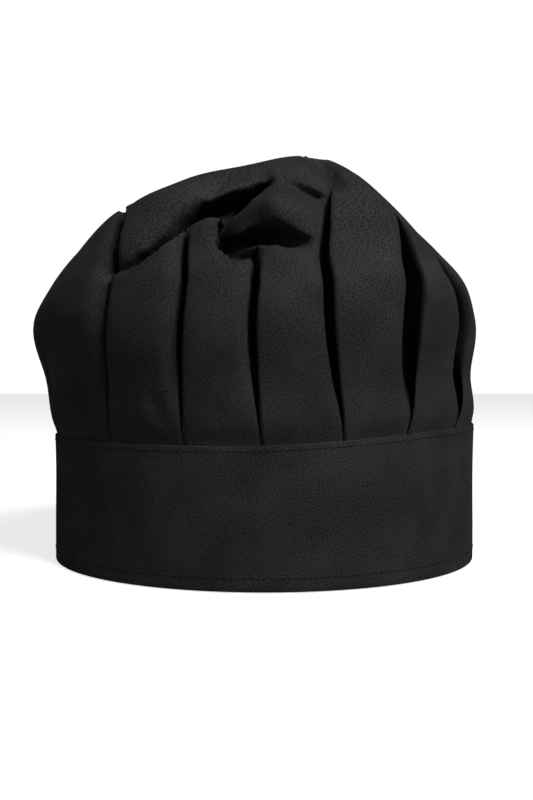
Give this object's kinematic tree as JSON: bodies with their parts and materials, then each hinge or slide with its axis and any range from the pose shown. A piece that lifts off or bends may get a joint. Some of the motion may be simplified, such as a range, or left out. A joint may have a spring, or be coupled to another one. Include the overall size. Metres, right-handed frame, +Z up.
{
  "type": "chef toque",
  "caption": "Black chef's toque: a soft dome crown pleated into a stiff straight band, with a bound slit and a hook-and-loop tab at the back.",
  "frame": {"origin": "centre of the head opening, on the band's bottom edge, where the hat rests", "axes": "+Z up through the crown, -Y to the front (the wearer's face), +Y to the slit and tab at the back, +X to the wearer's left"},
  "size_m": [0.204, 0.204, 0.183],
  "materials": {
    "cloth": "black poly-cotton, plain weave, matte",
    "lining_cloth": "the same black poly-cotton, inside the band",
    "stiffener": "non-woven interfacing",
    "thread": "black spun polyester thread",
    "hook_tape": "black woven nylon tape with hooks",
    "loop_tape": "black brushed nylon loop tape",
    "label": "blank white woven label"
  },
  "bodies": {
    "hat": {"crown": "cloth", "vent_binding": "cloth", "band_outer": "cloth", "band_lining": "lining_cloth", "band_interfacing": "stiffener", "band_top_stitching": "thread", "band_hem_stitching": "thread", "loop_strip": "loop_tape", "loop_strip_stitching": "thread", "crown_edge_overlock": "thread"},
    "tab": {"tab_outer": "cloth", "tab_interfacing": "stiffener", "tab_lining": "cloth", "tab_edge_stitching": "thread", "hook_strip": "hook_tape", "hook_strip_stitching": "thread"},
    "label": {"care_label": "label"}
  },
  "joints": [
    {"name": "closure_tab_peel", "type": "hinge", "parent": "hat", "child": "tab", "pos_m": [0.01359, 0.09433, 0.028], "axis": [0, 0, -1], "range_deg": [0, 110]},
    {"name": "care_label_flip", "type": "hinge", "parent": "hat", "child": "label", "pos_m": [-0.05122, 0.07594, 0.0565], "axis": [0.829, 0.5592, 0], "range_deg": [0, 150]}
  ]
}
